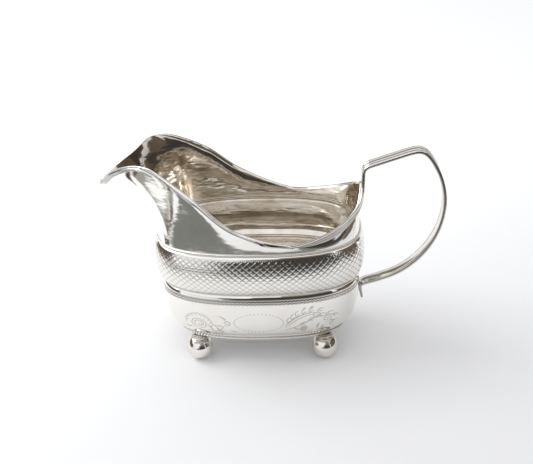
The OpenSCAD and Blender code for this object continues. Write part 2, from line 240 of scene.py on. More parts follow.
def makeSilver(name, roughness=0.07, tarnish=0.25, wave=0.02, scratch=0.05, shadeAndDirt=0.8,
               look=silverLook):
    material = bpy.data.materials.new(name)
    material.use_nodes = True
    nodes, links = material.node_tree.nodes, material.node_tree.links
    nodes.clear()

    def add(kind, **inputs):
        node = nodes.new(kind)
        for key, value in inputs.items():
            node.inputs[key.replace("_", " ")].default_value = value
        return node

    out = add("ShaderNodeOutputMaterial")
    metal = add("ShaderNodeBsdfPrincipled", Metallic=1.0)
    links.new(metal.outputs["BSDF"], out.inputs["Surface"])
    place = add("ShaderNodeTexCoord").outputs["Object"]

    def noise(scale, detail, stretch=(1, 1, 1), tilt=(0, 0, 0)):
        move = add("ShaderNodeMapping")
        move.inputs["Scale"].default_value = stretch
        move.inputs["Rotation"].default_value = tilt
        links.new(place, move.inputs["Vector"])
        texture = add("ShaderNodeTexNoise", Scale=scale, Detail=detail,
                      Roughness=marks["coarseness"])
        links.new(move.outputs["Vector"], texture.inputs["Vector"])
        return texture.outputs["Fac"]

    def remap(source, low, high, edge):
        node = add("ShaderNodeMapRange", From_Min=edge[0], From_Max=edge[1],
                   To_Min=low, To_Max=high)
        links.new(source, node.inputs["Value"])
        return node.outputs["Result"]

    def mix(factor, a, b):
        node = nodes.new("ShaderNodeMix")
        node.data_type = "RGBA"
        links.new(factor, node.inputs["Factor"])
        for socket, value in (("A", a), ("B", b)):
            target = [s for s in node.inputs if s.name == socket and s.type == "RGBA"][0]
            if isinstance(value, tuple):
                target.default_value = (*value, 1)
            else:
                links.new(value, target)
        return [s for s in node.outputs if s.type == "RGBA"][0]

    cloud = noise(*marks["cloud"])                     # patches of tarnish, about 15 mm across
    specks = noise(*marks["specks"])
    skin = mix(remap(cloud, 0.0, tarnish, marks["cloudEdge"]), look["bright"], look["warm"])
    # painted shade in hollows, and dark solder seams, read from the mesh and mixed into the colour
    crevice = add("ShaderNodeAttribute")
    crevice.attribute_name = "shadeAndGrime"
    shade = remap(crevice.outputs["Fac"], 0.0, shadeAndDirt, marks["shadeAndGrimeEdge"])
    links.new(mix(shade, skin, look["shadeAndGrime"]), metal.inputs["Base Color"])

    scuffs = remap(noise(*marks["scuffs"]), roughness * marks["leastRough"],
                   roughness * marks["mostRough"], marks["scuffEdge"])
    links.new(scuffs, metal.inputs["Roughness"])

    # the swell of hand-raised sheet, then hairline scratches, then specks
    before = None
    for strength, depth, height in ((1.0, wave * mm, noise(*marks["swell"])),
                                    (scratch, marks["hairlineDepth"], noise(*marks["hairlines"])),
                                    (scratch, marks["speckDepth"], specks)):
        bump = add("ShaderNodeBump", Strength=strength, Distance=depth)
        links.new(height, bump.inputs["Height"])
        if before:
            links.new(before.outputs["Normal"], bump.inputs["Normal"])
        before = bump
    links.new(before.outputs["Normal"], metal.inputs["Normal"])
    return material


bodySilver = makeSilver("bodySilver", roughness=0.06, tarnish=0.30, wave=0.05, scratch=0.12)
insideSilver = makeSilver("insideSilver", tarnish=1.0, wave=0.13, scratch=0.02, look=insideLook)
cutSilver = makeSilver("cutSilver", shadeAndDirt=0.62)
wireSilver = makeSilver("wireSilver", roughness=0.10, wave=0.01, shadeAndDirt=0.75)
handleSilver = makeSilver("handleSilver", roughness=0.12, tarnish=0.8, scratch=0.2)
ballSilver = makeSilver("ballSilver", roughness=0.13, tarnish=0.6, wave=0.05)
plateSilver = makeSilver("plateSilver", roughness=0.2, tarnish=0.7, wave=0.05, scratch=0.4)
print("silver ready")


# Gives a piece its silver, body and replaced nodes. Where inside is given, as the number of
# outer rows and of points in a row, the faces past the outer rows take the inside silver.
def finishPiece(piece, material, slot, *nodes, inside=None):
    piece.data.materials.append(material)
    if inside:
        outerRows, columns = inside
        piece.data.materials.append(insideSilver)
        facesIn = [min(face.vertices) // columns >= outerRows for face in piece.data.polygons]
        piece.data.polygons.foreach_set("material_index", np.array(facesIn, dtype=np.int32))
    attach(piece, "root")
    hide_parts(*nodes)
    print(piece.name, len(piece.data.polygons), "faces")


# Both faces of a band of the body. The outer one sinks by the depth of what is cut into it, and
# both swell gently.
def bandFaces(band, outer, depth, profile, turns):
    swell = unevenness(outer, band["swell"], band["swellDepth"]) + band["swellDepth"]
    outer = outer - gridNormals(outer) * (depth + swell)[..., None]
    inner = planGrid(evenRows(profile, band["innerStep"]) + [plan["sheet"], 0], turns)
    swell = unevenness(inner, band["innerSwell"], band["innerSwellDepth"])
    return outer, inner + gridNormals(inner) * swell[..., None]


# belly, with the engraving cut into both long sides
belly = dict(baseInset=7.6 * mm, wideInset=2.2 * mm, wideHeight=32 * mm, grooveInset=3.2 * mm,
             panelEdge=35 * mm, panelLow=16.6 * mm, panelHigh=29.8 * mm, panelStep=0.22 * mm,
             endStep=0.32 * mm, coarseStep=0.7 * mm, wriggleLow=32.3 * mm, wriggleHigh=35.0 * mm,
             wriggleRows=0.8, grooveStep=0.3 * mm, innerStep=1.9 * mm, swell=9 * mm,
             swellDepth=0.012 * mm, innerSwell=6 * mm, innerSwellDepth=0.02 * mm)
engraving = dict(lineWidth=0.17 * mm, lineSpread=1.5, depth=0.035 * mm, fade=0.45, strokeStep=0.1,
                 reach=2, margin=4, shadeAndGrime=1.2, wriggleHeights=(32.7 * mm, 33.9 * mm),
                 wriggleSwing=0.8 * mm, wriggleDepth=0.1 * mm, wriggleSpread=1.7,
                 wrigglePitch=1.7 * mm, wriggleSteps=16)

# The ornament in millimetres and degrees: x from the middle of the side, z above the table. Two
# scrolls are at the left, an empty oval in a ring of dots in the middle, and an acanthus branch and
# a flower at the right.
ornament = dict(
    ovalCentre=(-0.4, 23.0), ovalSize=(10.7, 5.2), ovalDots=40, dotLine=(-0.3, 0.0, 0.3),
    fronds=9, frondCentre=(-26.8, 21.4), frondRing=(4.6, 4.2), frondStart=-20, frondTurn=22,
    frondLength=3.4, frondLean=40, frondCurl=95,
    flowerCentre=(19.3, 18.9), flowerEye=0.6, petals=6, petalRing=1.2, petalSize=0.5,
    # x, z, small radius, large radius, start, turns
    spirals=((-26.8, 21.4, 0.4, 3.3, 200, 1.6), (-26.8, 21.4, 0.9, 4.2, 230, 1.15),
             (-14.3, 22.9, 0.3, 1.7, 20, -1.4), (-17.4, 17.4, 0.2, 1.0, 90, 1.3),
             (24.2, 25.9, 0.3, 1.8, 95, -1.35), (28.9, 23.0, 0.3, 2.1, 90, -1.5),
             (31.6, 19.6, 0.3, 1.3, 140, -1.3)),
    # number of steps, then the places a stem passes
    stems=((40, ((-23.2, 18.4), (-20.4, 17.6), (-17.6, 18.8), (-15.6, 21.2))),
           (60, ((10.7, 20.6), (13.2, 23.6), (16.3, 25.9), (20.0, 27.3), (23.5, 27.6))),
           (60, ((11.4, 20.2), (14.0, 22.8), (17.0, 24.9), (20.4, 26.3), (23.2, 26.6))),
           (60, ((11.2, 18.7), (15.2, 20.0), (19.6, 22.4), (24.0, 24.6), (28.9, 25.2)))),
    # x, z, length, angle, curl
    leaves=((-21.5, 18.0, 3.0, 95, 70), (-19.0, 18.2, 2.6, 80, 80), (-16.6, 20.4, 2.4, 140, 60),
            (-31.0, 18.8, 3.4, 215, -80), (-15.0, 24.6, 2.6, 110, 90), (-13.0, 19.0, 2.2, 300, 80),
            (12.0, 22.4, 2.8, 110, -90), (13.8, 24.2, 2.9, 115, -95), (15.8, 25.7, 3.0, 118, -100),
            (18.4, 26.9, 2.8, 112, -100), (21.2, 27.6, 2.6, 100, -100), (24.4, 28.0, 2.4, 60, -110),
            (15.0, 20.0, 2.4, 300, 90), (17.4, 21.3, 2.6, 60, -110), (20.8, 23.1, 2.6, 70, -110),
            (24.6, 24.8, 3.0, 60, -100), (28.0, 25.2, 3.0, 50, -90), (30.6, 24.4, 2.6, 20, -90),
            (25.8, 21.2, 2.8, 235, 90), (27.6, 19.6, 2.8, 250, 100), (30.6, 21.8, 2.4, 320, 80)))


def bellyProfile():
    a = np.linspace(0, np.pi / 2, 400)
    top = seamLow - plan["land"]
    inset = np.concatenate([
        belly["wideInset"] + (belly["baseInset"] - belly["wideInset"]) * (1 - np.sin(a)),
        belly["grooveInset"] - (belly["grooveInset"] - belly["wideInset"]) * np.cos(a[1:]),
        [belly["grooveInset"]]])
    z = np.concatenate([
        belly["wideHeight"] - (belly["wideHeight"] - bellyLow.z) * np.cos(a),
        belly["wideHeight"] + (top - belly["wideHeight"]) * np.sin(a[1:]), [seamLow]])
    return np.stack([inset, z], axis=1)


# Heights of the rows, which are closer together where something is engraved
def bellyRows():
    step, coarse = belly["panelStep"], belly["coarseStep"]
    profile = bellyProfile()
    cuts = [bellyLow.z, belly["panelLow"], belly["panelHigh"], belly["wriggleLow"],
            belly["wriggleHigh"], seamLow]
    steps = [coarse, step, coarse, step * belly["wriggleRows"], belly["grooveStep"]]
    rows = []
    for low, high, size in zip(cuts[:-1], cuts[1:], steps):
        part = profile[(profile[:, 1] >= low - slack) & (profile[:, 1] <= high + slack)]
        rows.append(evenRows(part, size)[(0 if not rows else 1):])
    return np.concatenate(rows)


def spiral(x, z, small, large, start, turns):
    t = np.linspace(0, 1, 60)
    a = np.radians(start) + 2 * np.pi * turns * t
    r = small + (large - small) * t
    return np.stack([x + r * np.cos(a), z + r * np.sin(a)], axis=1)


def ring(x, z, radius, count):
    a = np.radians(np.linspace(0, 360, count))
    return np.stack([x + radius * np.cos(a), z + radius * np.sin(a)], axis=1)


# A single curling stroke, and the pair of strokes that makes a leaf
def flick(x, z, length, angle, curl):
    t = np.linspace(0, 1, 24)
    heading = np.radians(angle + curl * t ** 1.5)
    stride = length / (len(t) - 1)
    return np.stack([x + np.cumsum(np.cos(heading)) * stride,
                     z + np.cumsum(np.sin(heading)) * stride], axis=1)


def leaf(x, z, length, angle, curl):
    return [flick(x, z, 1.35 * length, angle, curl),
            flick(x + 0.3, z - 0.2, 0.8 * length, angle - 14, 1.3 * curl)]


def engravedStrokes():
    strokes = [spiral(*values) for values in ornament["spirals"]]
    strokes += [spline(places, count) for count, places in ornament["stems"]]
    for values in ornament["leaves"]:
        strokes += leaf(*values)
    x, z = ornament["ovalCentre"]
    wide, high = ornament["ovalSize"]
    for k in range(ornament["ovalDots"]):
        a = 2 * math.pi * k / ornament["ovalDots"]
        strokes.append([(x + (wide + w) * math.cos(a), z + (high + w) * math.sin(a))
                        for w in ornament["dotLine"]])
    x, z = ornament["frondCentre"]
    wide, high = ornament["frondRing"]
    for k in range(ornament["fronds"]):
        angle = ornament["frondStart"] + ornament["frondTurn"] * k
        a = math.radians(angle)
        strokes.append(flick(x + wide * math.cos(a), z + high * math.sin(a),
                             ornament["frondLength"], angle + ornament["frondLean"],
                             ornament["frondCurl"]))
    x, z = ornament["flowerCentre"]
    strokes.append(ring(x, z, ornament["flowerEye"], 20))
    for k in range(ornament["petals"]):
        a = 2 * math.pi * k / ornament["petals"]
        strokes.append(ring(x + ornament["petalRing"] * math.cos(a),
                            z + ornament["petalRing"] * math.sin(a), ornament["petalSize"], 14))
    return strokes


def makeBelly():
    edge, step = belly["panelEdge"], belly["panelStep"]

    def weight(x):
        return np.where(np.abs(x) < edge, 1.0, step / belly["endStep"])

    x, y = planPoints(belly["wideInset"], np.linspace(0, 1, 4001))
    run = np.hypot(np.diff(x), np.diff(y)) * weight((x[1:] + x[:-1]) / 2)
    count = 4 * int(run.sum() / step / 4)
    turns, length = spreadTurns(count, belly["wideInset"], weight)
    profile = bellyRows()
    outer = planGrid(profile, turns)
    px, py = planPoints(belly["wideInset"], turns)
    depth = np.zeros(outer.shape[:2])

    # cuts a line of given width round places that are given as columns and rows
    def cutLine(col, row, width, amount, rowStep=1.0):
        for dc in range(-engraving["reach"], engraving["reach"] + 1):
            for dr in range(-engraving["reach"], engraving["reach"] + 1):
                c = np.round(col).astype(int) + dc
                r = np.clip(np.round(row).astype(int) + dr, 0, len(profile) - 1)
                gap = np.hypot((c - col) * step, (r - row) * step * rowStep)
                np.maximum.at(depth, (r, c % count), amount * np.clip(1 - gap / width, 0, 1))

    def rowsAt(z):
        return np.interp(z, profile[:, 1], np.arange(len(profile)))

    # the front side runs from left to right, and the back side is turned to match
    margin, middle = engraving["margin"], count // 2
    front, back = np.arange(middle + margin, count - margin), np.arange(middle - margin, margin, -1)
    width = engraving["lineWidth"] * engraving["lineSpread"]
    for stroke in map(np.array, engravedStrokes()):
        dots = max(3, int(lengthsAlong(stroke)[-1] / engraving["strokeStep"]))
        x, z = respace(stroke, dots).T * mm
        fade = np.sin(np.pi * np.linspace(0.08, 0.92, dots)) * engraving["fade"]
        amount = engraving["depth"] * (1 - engraving["fade"] + fade)
        cutLine(np.interp(x, px[front], front), rowsAt(z), width, amount)
        cutLine(np.interp(-x[::-1], px[back], back), rowsAt(z[::-1]), width, amount)

    # two rows of wriggle work all round under the shoulder
    waves = int(length / engraving["wrigglePitch"])
    s = np.linspace(0, 1, waves * engraving["wriggleSteps"], endpoint=False)
    run = lengthsAlong(np.stack([np.append(px, px[0]), np.append(py, py[0])], axis=1))
    col = np.interp(s * run[-1], run, np.arange(count + 1))
    for height in engraving["wriggleHeights"]:
        z = height + engraving["wriggleSwing"] * np.abs(np.sin(np.pi * waves * s))
        cutLine(col, rowsAt(z), engraving["lineWidth"] * engraving["wriggleSpread"],
                engraving["wriggleDepth"], belly["wriggleRows"])

    # the engraved lines and the wriggle are darkened with painted shade, most where they are cut
    # deepest
    shadeAndGrime = np.clip(engraving["shadeAndGrime"] * depth / engraving["depth"], 0, 1)
    outer, inner = bandFaces(belly, outer, depth, bellyProfile(), turns)
    piece = makeLoop("belly", outer, inner, shadeAndGrime)
    finishPiece(piece, bodySilver, "engraved_silver", "lower_body", inside=outer.shape[:2])


makeBelly()

# girdle, with the diagonal lattice cut into its bulge and three rows of dots beside it
girdle = dict(grooveInset=3.2 * mm, topInset=2.1 * mm, across=2.95 * mm, perDiamond=10, rows=80,
              latticeFrom=4, latticeTo=69, depth=0.1 * mm, dotRows=(2, 71, 78), dotEvery=3,
              dotDepth=1.2, innerStep=1.1 * mm, swell=9 * mm, swellDepth=0.01 * mm,
              innerSwell=6 * mm, innerSwellDepth=0.03 * mm)


def girdleProfile():
    a = np.linspace(-np.pi / 2, np.pi / 2, 801)
    low, high = seamLow + plan["land"], seamHigh - plan["land"]
    middle = (low + high) / 2
    edge = np.where(a < 0, girdle["grooveInset"], girdle["topInset"])
    inset = edge * (1 - np.cos(a))
    z = middle + (high - middle) * np.sin(a)
    return np.concatenate([[[girdle["grooveInset"], seamLow]], np.stack([inset, z], axis=1),
                           [[girdle["topInset"], seamHigh]]])


def makeGirdle():
    per, rows = girdle["perDiamond"], girdle["rows"]
    _, length = spreadTurns(8, 0)
    count = per * int(round(length / girdle["across"]))
    turns, _ = spreadTurns(count, 0)
    outer = planGrid(respace(girdleProfile(), rows), turns)
    r, c = np.meshgrid(np.arange(rows), np.arange(count), indexing="ij")
    inLattice = (r >= girdle["latticeFrom"]) & (r <= girdle["latticeTo"])
    line = (((c - r) % per == 0) | ((c + r) % per == 0)) & inLattice
    dots = np.isin(r, girdle["dotRows"]) & (c % girdle["dotEvery"] == 0)
    depth = np.where(line, girdle["depth"], 0.0)
    depth = np.where(dots, girdle["depth"] * girdle["dotDepth"], depth)
    # the lattice grooves and the dots are darkened with painted shade
    shadeAndGrime = np.clip(depth / girdle["depth"], 0, 1)
    outer, inner = bandFaces(girdle, outer, depth, girdleProfile(), turns)
    grid = np.concatenate([outer, inner[::-1]])
    # split each quad along the groove that crosses it
    quads = gridQuads(*grid.shape[:2])
    r, c = quads[:, 0] // count, quads[:, 0] % count
    lattice = (r >= girdle["latticeFrom"]) & (r < girdle["latticeTo"])
    rising = lattice & ((c - r) % per == 0)
    falling = lattice & ~rising & ((c + r + 1) % per == 0)
    faces = quads[~(rising | falling)].tolist()
    for which, halves in ((rising, ([0, 1, 2], [0, 2, 3])), (falling, ([0, 1, 3], [1, 2, 3]))):
        for half in halves:
            faces += quads[which][:, half].tolist()
    shadeAndGrime = np.concatenate([shadeAndGrime, np.zeros(inner.shape[:2])])
    piece = makeMesh("girdle_band", grid, faces, shadeAndGrime)
    finishPiece(piece, cutSilver, "cut_silver", "girdle", inside=outer.shape[:2])


makeGirdle()

# neck and lip; narrow keeps the smooth sides of the neck within the faceted ones of the solid
neck = dict(rows=64, columns=640, flare=0.25, curl=3, footPull=0.4, rimPull=0.3, topInset=2.1 * mm,
            narrow=0.996, settle=0.02 * mm, swell=8 * mm, swellDepth=0.012 * mm,
            innerSwell=5 * mm, innerSwellDepth=0.035 * mm, innerSwellFrom=0.3)
# The rim in millimetres. Its way points are shares of the half length, the half width and the rise
# towards the handle or the lip, and the nose is one more between the shoulder and the tip.
rim = dict(lipReach=66, lipLean=2, lipHeight=79, shoulderHeight=92.37, shoulderReach=43.5,
           shoulderWidth=33, low=61.2, back=76, backInset=1.4, nose=(0.6, 0.225, 0.58),
           wayPoints=((0.91, 0.42, 0.6), (0.64, 0.74, 0.17), (0.25, 0.93, 0), (-0.2, 1.01, 0.26),
                      (-0.56, 0.9, 0.69)),
           wireHeight=2.7, wireDepth=1.17, reeds=3, hollow=0.5, lowEdge=0.4, highEdge=0.85,
           wireRows=25, wireColumns=900)


def rimStations():
    hl, hw = halfLength / mm, halfWidth / mm
    back, front = rim["back"] - rim["low"], rim["shoulderHeight"] - rim["low"]
    reach, drop = rim["lipReach"] - rim["shoulderReach"], rim["shoulderHeight"] - rim["lipHeight"]
    half = [(hl - rim["backInset"], 0, rim["back"])]
    half += [(along * hl, across * hw, rim["low"] + rise * (back if along > 0 else front))
             for along, across, rise in rim["wayPoints"]]
    along, across, rise = rim["nose"]
    half += [(-rim["shoulderReach"], rim["shoulderWidth"] / 2, rim["shoulderHeight"]),
             (-rim["shoulderReach"] - along * reach, across * rim["shoulderWidth"],
              rim["lipHeight"] + rise * drop),
             (-rim["lipReach"], 0, rim["lipHeight"])]
    half = np.array(half, float)
    other = half * [1, -1, 1]
    return np.concatenate([other[1:2], half, other[-2:-3:-1]]), len(half) - 1


# Four control points for every column of the neck, from the girdle to the rim
def neckColumns(turns):
    side = np.where(turns > 0.5, -1.0, 1.0)
    s = np.where(turns > 0.5, 1 - turns, turns) * 2
    stations, spans = rimStations()
    k = np.minimum((s * spans).astype(int), spans - 1)
    top = catmull(*(stations[k + j] for j in range(4)), (s * spans - k)[:, None])
    x, y = planPoints(neck["topInset"], s / 2)
    low = rowOfPoints(x / mm, y / mm, (seamHigh + plan["land"]) / mm)
    nose = rim["lipReach"] - rim["shoulderReach"]
    past = np.clip(-top[:, 0] - rim["shoulderReach"], 0, None) / nose
    top[:, 0] += side * rim["lipLean"] * np.sin(np.pi * past) ** 2
    rise = np.linalg.norm(top - low, axis=1)[:, None]
    ahead = np.clip(-top[:, 0] - halfLength / mm, 0, None) / nose
    lean = neck["flare"] * (top - low)
    out = np.stack([lean[:, 0] - neck["curl"] * ahead, lean[:, 1], np.ones_like(ahead)], axis=1)
    out /= np.linalg.norm(out, axis=1)[:, None]
    up = np.array([0, 0, 1])
    points = np.stack([low, low + up * neck["footPull"] * rise,
                       top - out * neck["rimPull"] * rise, top])
    points[:, :, 1] *= side * neck["narrow"]
    return points * mm + [centreX, 0, 0]


def neckNormals(grid):
    n = gridNormals(grid)
    n[0, :, 2] = 0                                     # level at the seam
    return n / np.linalg.norm(n, axis=2, keepdims=True)


def makeNeck():
    turns = np.arange(neck["columns"]) / neck["columns"]
    shares = np.linspace(0, 1, neck["rows"])[:, None] * np.ones(len(turns))
    outer = bezier(neckColumns(turns), shares)
    seam = outer[:1].copy()
    seam[..., 2] = seamHigh
    outer = np.concatenate([seam, outer])
    normals = neckNormals(outer)
    inner = outer - normals * plan["sheet"]
    start = (np.linspace(0, 1, len(inner))[:, None] / neck["innerSwellFrom"]).clip(0, 1)
    swell = unevenness(inner, neck["innerSwell"], neck["innerSwellDepth"]) * start
    inner = inner - normals * swell[..., None]
    inner[0, :, 2] = seamHigh
    swell = unevenness(outer, neck["swell"], neck["swellDepth"])
    outer = outer - normals * (neck["settle"] + swell)[..., None]
    piece = makeLoop("neck", outer, inner)
    finishPiece(piece, bodySilver, "plain_silver", "upper_body", inside=outer.shape[:2])


makeNeck()


# The reeded wire runs round the rim from one side of the strap to the other
def makeRimWire(strapWidth):
    early = np.linspace(0, 0.1, 2001)                  # turns that are close to the strap
    start = np.interp(strapWidth / 2 * mm, neckColumns(early)[3][:, 1], early)
    turns = np.linspace(start, 1 - start, rim["wireColumns"])
    points = neckColumns(turns)
    seat = 1 - rim["wireHeight"] * mm / (3 * np.linalg.norm(points[3] - points[2], axis=1))
    shares = np.linspace(0, 1, rim["wireRows"])
    base = bezier(points, seat[None, :] + shares[:, None] * (1 - seat)[None, :])
    normals = np.cross(np.gradient(base, axis=1), np.gradient(base, axis=0))
    face = normals[-1] / np.linalg.norm(normals[-1], axis=1, keepdims=True)
    part = (shares * rim["reeds"]) % 1
    part[-1] = 1
    depth = rim["wireDepth"] * mm * (rim["hollow"] + (1 - rim["hollow"]) * roundTop(part))
    depth[0] *= rim["lowEdge"]
    depth[-1] *= rim["highEdge"]
    outer = base + face * depth[:, None, None]
    grid = np.concatenate([base[:1], outer, base[-1:]])
    # painted shade in the valleys between the reeds and along the foot of the wire
    shadeAndDirt = np.concatenate([[1], np.abs(2 * part - 1) ** 3 * (part > 0), [0]])
    rows, cols = grid.shape[:2]
    faces = gridQuads(rows, cols, loopCols=False).tolist()
    faces.append([r * cols for r in range(rows)])
    faces.append([r * cols + cols - 1 for r in range(rows)][::-1])
    piece = makeMesh("rim_reeding", grid, faces, shadeAndDirt[:, None] * np.ones(len(turns)))
    finishPiece(piece, wireSilver, "silver_wire", "rim_wire")


# The strap handle in millimetres: a riser behind the rim, an elbow, a short arm up to a corner, one
# big bow down to the root, and a free tail. A pull is how far a bend's control point lies from its
# end.
handle = dict(width=5.8, thickness=1.5, reach=79.4, height=91.8, step=0.45, riserLap=7,
              riserBed=0.8, riserRise=5, elbowRises=(4.5, 7), elbowEnd=(4, 8.9), elbowPull=(3.2, 1),
              cornerBack=7.8, cornerDrop=4.4, cornerPulls=((9.5, 2.3), (4.4, 0.6), (2.6, 1)),
              bowEnd=(8, 7), bowPulls=((15.4, -22.3), (21, 6.7)), rootBed=0.1, rootDrop=5,
              rootPull=(6, 2.6), rootBends=((0.4, 2), 0.1), tailReach=11.2, tailKick=0.9,
              tailLength=7.5, tailTip=0.2, tailRound=0.6, thinnest=0.35, rootShade=0.6,
              rootShadeLength=12, easings=3)
makeRimWire(handle["width"])


def handlePath():
    hl, top = halfLength / mm, handle["height"]
    riser = hl - rim["backInset"] + handle["thickness"] / 2
    root = hl - belly["wideInset"] / mm + handle["thickness"] / 2 - handle["rootBed"]
    arm = np.array([riser, rim["back"]]) + handle["elbowEnd"]
    corner = np.array([handle["reach"] - handle["cornerBack"], top])
    start = corner - [0, handle["cornerDrop"]]
    end = np.array([hl, seamLow / mm]) + [handle["bowEnd"][0], -handle["bowEnd"][1]]
    few, many = np.linspace(0, 1, 14), np.linspace(0, 1, 40)
    lapped = rim["back"] - handle["riserLap"]
    outPull, inPull = handle["bowPulls"]
    (bendIn, bendDrop), endIn = handle["rootBends"]
    parts = [
        [(riser - handle["riserBed"], lapped),
         (riser - handle["riserBed"] / 4, lapped + handle["riserRise"])],
        bezier([*((riser, rim["back"] + rise) for rise in handle["elbowRises"]),
                arm - handle["elbowPull"], arm], few),
        bezier([*(corner - pull for pull in handle["cornerPulls"]), start], few),
        bezier([start, start + outPull, end + inPull, end], many)[1:],
        bezier([end, end - handle["rootPull"], (root - bendIn, end[1] - bendDrop),
                (root - endIn, end[1] - handle["rootDrop"])], few)[1:],
        [(root + handle["tailKick"] / 2, end[1] - (handle["rootDrop"] + handle["tailReach"]) / 2),
         (root + handle["tailKick"], end[1] - handle["tailReach"])]]
    path = np.concatenate([np.asarray(part, float) for part in parts])
    path = respace(path, int(lengthsAlong(path)[-1] / handle["step"]))
    for _ in range(handle["easings"]):                 # ease the joins between the bends
        path[1:-1] = (path[:-2] + 2 * path[1:-1] + path[2:]) / 4
    return path


# Across the strap: a flat inner face, rounded edges and three rounded reeds outside. Each place is
# a share of half the width, a share of half the thickness, and its painted shade.
strap = dict(inner=((-0.96, -0.8, 0.5), (-0.9, -1, 0.3), (0, -1, 0), (0.9, -1, 0.3),
                    (0.96, -0.8, 0.5), (1, -0.3, 0.75), (1, 0.3, 0.6)),
             reeds=((1.0, 0.42), (0.38, -0.38), (-0.42, -1.0)), reedSteps=8, reedFoot=0.5,
             edge=((-1, 0.3, 0.6), (-1, -0.3, 0.75)))


def strapOutline():
    places = list(strap["inner"])
    for high, low in strap["reeds"]:
        for k in range(strap["reedSteps"] + 1):
            share = k / strap["reedSteps"]
            across = high + (low - high) * share
            out = strap["reedFoot"] + (1 - strap["reedFoot"]) * float(roundTop(share))
            # painted shade in the valleys between the reeds
            places.append((across, out, abs(2 * share - 1) ** 3 if 0 < across + 1 < 2 else 0))
    return np.array(places + list(strap["edge"]), float)


def makeHandle():
    path = handlePath()
    outline = strapOutline()
    along = np.gradient(path, axis=0)
    along /= np.linalg.norm(along, axis=1)[:, None]
    left = np.arange(len(path))[::-1] * handle["step"]                  # length left to the tip
    taper = (np.clip(left / handle["tailLength"], 0, 1) ** handle["tailRound"]
             * (1 - handle["tailTip"]) + handle["tailTip"])
    thick = handle["thickness"] / 2 * (handle["thinnest"] + (1 - handle["thinnest"]) * taper)
    out = thick[:, None] * outline[:, 1]
    grid = np.stack([path[:, :1] - along[:, 1:] * out,
                     handle["width"] / 2 * taper[:, None] * outline[:, 0],
                     path[:, 1:] + along[:, :1] * out], axis=2) * mm + [centreX, 0, 0]
    rows, cols = grid.shape[:2]
    # painted shade where the strap's tail lies on the belly, fading along the strap
    rootShade = handle["rootShade"] * np.exp(-(left / handle["rootShadeLength"]) ** 4)
    shadeAndDirt = np.maximum(np.ones((rows, 1)) * outline[:, 2], rootShade[:, None])
    piece = makeMesh("strap_handle", grid, barFaces(rows, cols, turned=True), shadeAndDirt)
    finishPiece(piece, handleSilver, "plain_silver", "handle")


makeHandle()

# Milled wires in the groove and over the girdle, each a ring of beads. The waist is how thick the
# wire stays between two beads.
milled = dict(height=1.2 * mm, depth=0.6 * mm, pitch=0.9 * mm, perBead=8, steps=8, waist=0.45,
              swell=0.15, shadeAndGrime=0.8, shadeAndGrimeEdge=1.5)


def beadRow(count, perBead):
    return roundTop((np.arange(count) % perBead) / perBead)


def makeMilledWire(name, node, inset, seam):
    _, length = spreadTurns(8, inset)
    count = int(round(length / milled["pitch"])) * milled["perBead"]
    turns, _ = spreadTurns(count, inset - milled["depth"] / 2)
    bead = beadRow(count, milled["perBead"])
    thickness = milled["waist"] + (1 - milled["waist"]) * bead
    height = milled["height"] / 2 * (1 - milled["swell"] + milled["swell"] * bead)
    angles = np.linspace(-np.pi / 2, np.pi / 2, milled["steps"])
    grid = np.array([rowBetween(inset, inset - milled["depth"], turns, math.cos(a) * thickness,
                                seam + math.sin(a) * height) for a in angles])
    # painted shade between the beads
    shadeAndGrime = np.ones((len(angles), 1)) * ((1 - bead) ** milled["shadeAndGrimeEdge"] * milled["shadeAndGrime"])
    piece = makeMesh(name, grid, gridQuads(*grid.shape[:2]).tolist(), shadeAndGrime)
    finishPiece(piece, wireSilver, "silver_wire", node)


makeMilledWire("milled_wire_low", "lower_milled_wire", girdle["grooveInset"], seamLow)
makeMilledWire("milled_wire_high", "upper_milled_wire", girdle["topInset"], seamHigh)

# base wire: two beaded reeds, one over the other, with the beads of one between those of the other
baseWire = dict(inset=7.6 * mm, width=2.8 * mm, depth=0.6 * mm, pitch=1.4 * mm, perBead=8, steps=8,
                reeds=2, waist=0.45, shadeAndGrimeEdge=1.5)


def makeBaseWire():
    inset, width, depth = baseWire["inset"], baseWire["width"], baseWire["depth"]
    _, length = spreadTurns(8, inset)
    count = baseWire["perBead"] * int(round(length / baseWire["pitch"]))
    turns, _ = spreadTurns(count, inset)
    bead = beadRow(count, baseWire["perBead"])
    reed = (baseHigh.z - baseLow.z) / baseWire["reeds"]
    rows, shadeAndGrime = [], []
    for k in range(baseWire["reeds"]):
        shifted = np.roll(bead, k * baseWire["perBead"] // 2)
        for a in np.linspace(0, np.pi, baseWire["steps"], endpoint=False):
            share = math.sin(a) * (baseWire["waist"] + (1 - baseWire["waist"]) * shifted)
            z = baseLow.z + reed * (k + (1 - math.cos(a)) / 2)
            rows.append(rowBetween(inset + depth, inset, turns, share, z))
            # painted shade between the beads and where the two reeds meet
            shadeAndGrime.append((1 - shifted * math.sin(a)) ** baseWire["shadeAndGrimeEdge"])
    outer = np.array(rows + [planGrid([(inset + depth, baseHigh.z)], turns)[0]])
    inner = planGrid([(inset + width, baseLow.z), (inset + width, baseHigh.z)], turns)
    piece = makeLoop("base_beading", outer, inner, np.array(shadeAndGrime + [np.zeros(count)]))
    finishPiece(piece, wireSilver, "silver_wire", "base_wire")


makeBaseWire()

